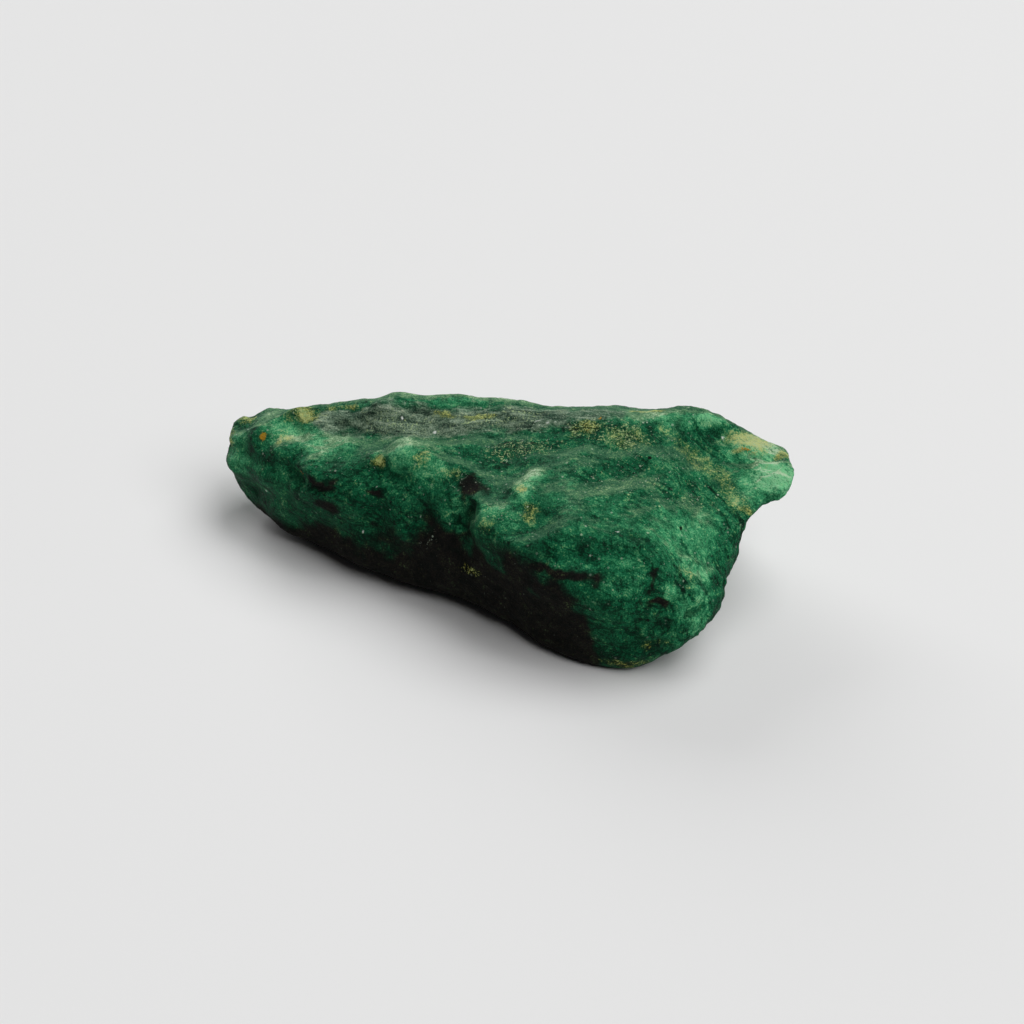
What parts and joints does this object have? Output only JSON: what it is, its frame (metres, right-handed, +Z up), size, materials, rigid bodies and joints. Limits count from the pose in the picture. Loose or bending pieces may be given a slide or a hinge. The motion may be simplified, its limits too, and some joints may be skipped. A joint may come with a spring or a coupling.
{
  "type": "raw emerald crystal",
  "caption": "Rough wedge-shaped lump of green emerald in mica schist, with a round knob at one end, a thin overhanging tip at the other and a flat resting facet.",
  "frame": {"origin": "bottom centre of the stone, on the surface that it rests on", "axes": "+X along the stone from the round knob to the thin tip, +Y towards the hidden back, +Z up from the resting facet"},
  "size_m": [0.0408, 0.0238, 0.0118],
  "materials": {
    "emerald": "rough broken beryl with mica schist, dull to waxy, with fine mica sparkle"
  },
  "bodies": {
    "root": {"emerald_rough": "emerald"}
  },
  "joints": []
}
